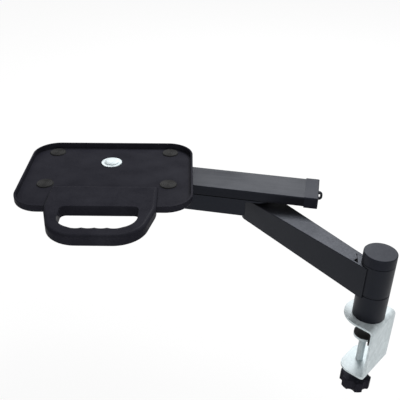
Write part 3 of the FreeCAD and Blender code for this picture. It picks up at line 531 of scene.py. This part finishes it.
@dataclass
class Post(SubAssembly):
    """Fixed spindle with its collar and cap."""

    finishes: dict[str, Finish] = field(default_factory=lambda: {
        "top_cap": SATIN_ABS, "post_spindle": ZINC_PLATE, "retaining_washer": ZINC_PLATE,
        "spindle_nut": ZINC_PLATE, "post_collar": POWDER_COAT, "thrust_washer": ACETAL})


@dataclass
class LowerArm(SubAssembly):
    """Arm that swings on the post, with the screws that hold it to its sleeve."""

    arm_angle: float = 124.6
    arm_side: float = 22.5
    width_post: float = 21.0
    width_elbow: float = 42.5
    elbow_reach: float = 226.7
    screw_reaches: tuple[float, ...] = (43.0, 56.0)
    screw_height: float = 59.0
    screw_shank: float = 13.0
    finishes: dict[str, Finish] = field(default_factory=lambda: {
        "arm_sleeve": POWDER_COAT, "lower_arm_shell": POWDER_COAT, "lower_bush": ACETAL,
        "upper_bush": ACETAL, "elbow_bush": ACETAL, "arm_screws": ZINC_PLATE})

    def screws(self) -> Skin:
        """Socket screws on the back face, each turned so that its head points away from the arm.

        The face moves out evenly from the post to the elbow, and a screw is seated where the face
        is at the head's outer rim.

        Returns:
            Surface in metres.
        """
        screw = SocketScrew(shank_length=self.screw_shank)
        head_to_back = np.array([[1.0, 0.0, 0.0], [0.0, 0.0, -1.0], [0.0, 1.0, 0.0]])
        reach = np.array(self.screw_reaches)
        widening = (self.width_elbow - self.width_post) / self.elbow_reach
        back = self.arm_side - self.width_post - widening * (reach + screw.head_radius)
        seat = np.stack([reach, back, np.full(len(reach), self.screw_height)], axis=-1)
        local = screw.rows() @ head_to_back.T
        return Skin((local[None] + seat[:, None, None]) @ heading(self.arm_angle).T * MM)

    def build(self, shop: Workshop) -> None:
        """Make the socket screws."""
        shop.piece("arm_socket_screws", self.screws(), ZINC_PLATE, Body.LOWER_ARM,
                   "arm_screws")


@dataclass
class UpperArm(SubAssembly):
    """Channel on the elbow with the guide that the rail slides on."""

    finishes: dict[str, Finish] = field(default_factory=lambda: {
        "beam_channel": POWDER_COAT, "slide_guide": ACETAL, "guide_screws": ZINC_PLATE,
        "elbow_pin": ZINC_PLATE, "elbow_washer": ACETAL, "elbow_nut_washer": ZINC_PLATE,
        "elbow_nut": ZINC_PLATE})


@dataclass
class Rail(SubAssembly):
    """Sliding rail with its end pieces and the swivel of the tray."""

    finishes: dict[str, Finish] = field(default_factory=lambda: {
        "slide_rail": ANODISED, "rail_end_cap": SATIN_ABS, "rail_nose_plug": SATIN_ABS,
        "swivel_disc": MOULDED_ABS, "swivel_washer": ZINC_PLATE, "swivel_bolt": ZINC_PLATE,
        "swivel_nut": ZINC_PLATE})


@dataclass
class Tray(SubAssembly):
    """Phone tray with its handle, screws and grip pads."""

    swivel: tuple[float, float] = (-360.756, 236.802)
    angle: float = -1.0
    floor_top: float = 113.8
    tray_bottom: float = 110.8
    pad_radius: float = 13.0
    pad_height: float = 1.6
    pad_middle: float = 0.2
    pad_foot_share: float = 0.5
    pad_rows: int = 60
    pad_columns: int = 72
    ridge_pitch: float = 2.6
    ridge_depth: float = 0.5
    pad_spread: float = 92.0
    pad_front: float = -70.0
    pad_rear: float = 36.0
    screw_spread: float = 58.0
    screw_front: float = -136.0
    screw_rear: float = -102.0
    screw_shank: float = 7.5
    finishes: dict[str, Finish] = field(default_factory=lambda: {
        "phone_tray": MOULDED_ABS, "pull_handle": MOULDED_ABS, "handle_screws": ZINC_PLATE,
        "grip_pads": NITRILE})

    def spread(self, rows: np.ndarray, side: float, front: float, rear: float,
               height: float) -> Skin:
        """Four copies of a shape at the corners of a rectangle on the tray.

        Args:
            rows: Surface of one copy in millimetres.
            side: Distance of the corners from the middle line.
            front: Local Y of the front pair.
            rear: Local Y of the rear pair.
            height: Height of the copies.

        Returns:
            Surface in metres.
        """
        corners = np.array([[x, y, height] for x in (-side, side) for y in (front, rear)])
        middle = np.array([*self.swivel, 0.0])
        return Skin(((rows[None] + corners[:, None, None]) @ heading(self.angle).T + middle) * MM)

    def pads(self) -> Skin:
        """Rubber pads whose top falls between rings by a cosine of the radius.

        The edge leans in by half the pad's height.

        Returns:
            Surface in metres.
        """
        radius = np.linspace(self.pad_radius - self.pad_height / 2, self.pad_middle, self.pad_rows)
        wave = 0.5 - 0.5 * np.cos(FULL_TURN * (radius[0] - radius) / self.ridge_pitch)
        foot = [self.pad_radius * self.pad_foot_share, self.pad_radius]
        radii = np.concatenate([foot, radius])
        heights = np.concatenate([np.zeros(len(foot)), self.pad_height - self.ridge_depth * wave])
        return self.spread(turned(radii, heights, self.pad_columns), self.pad_spread,
                           self.pad_front, self.pad_rear, self.floor_top)

    def screws(self) -> Skin:
        """Socket screws under the tray, each turned over so that its head points down.

        Returns:
            Surface in metres.
        """
        head_down = np.diag([1.0, -1.0, -1.0])
        rows = SocketScrew(shank_length=self.screw_shank).rows() @ head_down.T
        return self.spread(rows, self.screw_spread, self.screw_front, self.screw_rear,
                           self.tray_bottom)

    def build(self, shop: Workshop) -> None:
        """Make the ridged pads and the socket screws."""
        shop.piece("ridged_grip_pads", self.pads(), NITRILE, Body.TRAY, "grip_pads")
        shop.piece("handle_socket_screws", self.screws(), ZINC_PLATE, Body.TRAY,
                   "handle_screws")


@dataclass(frozen=True)
class Softbox:
    """Flat lamp that faces a point. Its radiance is its power over its area and pi."""

    name: str
    place: tuple[float, float, float]
    aim: tuple[float, float, float]
    width: float
    height: float
    radiance: float

    def build(self) -> None:
        """Put the lamp into the scene."""
        lamp = bpy.data.lights.new(self.name, "AREA")
        lamp.shape = "RECTANGLE"
        lamp.size = self.width
        lamp.size_y = self.height
        lamp.energy = self.radiance * self.width * self.height * math.pi
        made = put(self.name, lamp)
        towards = np.array(self.aim) - np.array(self.place)
        made.location = self.place
        made.rotation_euler = (math.atan2(math.hypot(towards[0], towards[1]), -towards[2]), 0.0,
                               math.atan2(towards[1], towards[0]) - math.pi / 2)


def background_share(tree: bpy.types.NodeTree) -> bpy.types.NodeSocket:
    """One for rays from the camera and for their mirror images, nought for light.

    Args:
        tree: Node tree of the floor or of the world.

    Returns:
        Socket with the share.
    """
    path = add_node(tree, "ShaderNodeLightPath").outputs
    mirrored = add_node(tree, "ShaderNodeMath",
                        {0: path["Is Glossy Ray"], 1: path["Is Transmission Ray"]},
                        operation="MAXIMUM")
    return add_node(tree, "ShaderNodeMath", {0: path["Is Camera Ray"], 1: mirrored.outputs[0]},
                    operation="MAXIMUM").outputs[0]


@dataclass
class Studio:
    """Pale floor, soft lamps, white surroundings and the camera."""

    camera_place: tuple[float, float, float] = (-0.2568, -0.6272, 0.5541)
    camera_pitch_deg: float = 30.5
    lens_mm: float = 54.77
    lens_shift: float = 0.057
    sensor_mm: float = 36.0
    floor_side: float = 16.0
    clamp_travel: float = 0.038
    floor_gap: float = 0.0005
    floor_glow: float = 0.92
    world_light: float = 0.3
    softboxes: tuple[Softbox, ...] = (
        Softbox("back_panel", (0.2, 1.4, 1.5), (-0.1, 0.12, 0.1), 1.0, 0.8, 18.0),
        Softbox("top_panel", (0.2, 0.7, 1.9), (-0.1, 0.12, 0.1), 1.2, 0.8, 3.0),
        Softbox("right_strip", (1.0, 0.1, 0.5), (0.0, 0.0, 0.06), 0.3, 0.9, 1.2),
        Softbox("front_panel", (-0.3, -2.2, 0.5), (-0.25, 0.1, 0.1), 1.6, 0.8, 5.0),
    )

    def floor(self) -> None:
        """Flat floor under the knob at its lowest, white to the camera with a trace of shadow."""
        half = self.floor_side / 2
        level = CAD_BOX[0].z - self.clamp_travel - self.floor_gap
        corners = [(-half, -half, level), (half, -half, level),
                   (half, half, level), (-half, half, level)]
        mesh = bpy.data.meshes.new("floor")
        mesh.from_pydata(corners, [], [(0, 1, 2, 3)])
        made = put("floor", mesh)
        paper = bpy.data.materials.new("white_paper_floor")
        tree = bare_tree(paper)
        share = add_node(tree, "ShaderNodeMath", {0: background_share(tree), 1: self.floor_glow},
                         operation="MULTIPLY")
        matt = add_node(tree, "ShaderNodeBsdfDiffuse", {"Color": linear(PAPER_WHITE)})
        glow = add_node(tree, "ShaderNodeEmission", {"Color": linear(WHITE), "Strength": 1.0})
        both = add_node(tree, "ShaderNodeMixShader",
                        {0: share.outputs[0], 1: matt.outputs[0], 2: glow.outputs[0]})
        add_node(tree, "ShaderNodeOutputMaterial", {"Surface": both.outputs[0]})
        mesh.materials.append(paper)

    def surroundings(self) -> None:
        """White world for the camera and for reflections, softer as a light."""
        world = bpy.data.worlds.new("white_room")
        bpy.context.scene.world = world
        tree = bare_tree(world)
        strength = add_node(tree, "ShaderNodeMapRange",
                            {"Value": background_share(tree),
                             "To Min": self.world_light, "To Max": 1.0})
        glow = add_node(tree, "ShaderNodeBackground",
                        {"Color": linear(WHITE), "Strength": strength.outputs[0]})
        add_node(tree, "ShaderNodeOutputWorld", {"Surface": glow.outputs[0]})

    def camera(self) -> None:
        """Camera in front of the tray's handle, looking along +Y and down."""
        data = bpy.data.cameras.new("camera")
        data.lens = self.lens_mm
        data.sensor_width = self.sensor_mm
        data.shift_x = self.lens_shift
        made = put("camera", data)
        made.location = self.camera_place
        made.rotation_euler = (math.radians(90.0 - self.camera_pitch_deg), 0.0, 0.0)
        bpy.context.scene.camera = made

    def build(self) -> None:
        """Set up the studio."""
        self.floor()
        self.surroundings()
        for softbox in self.softboxes:
            softbox.build()
        self.camera()
        bpy.context.scene.view_settings.view_transform = "Standard"


def main() -> None:
    """Dress and build the sub-assemblies in order, then the studio."""
    shop = Workshop()
    for part in (DeskClamp(), Post(), LowerArm(), UpperArm(), Rail(), Tray()):
        part.dress(shop)
        part.build(shop)
    Studio().build()


if __name__ == "__main__":
    main()
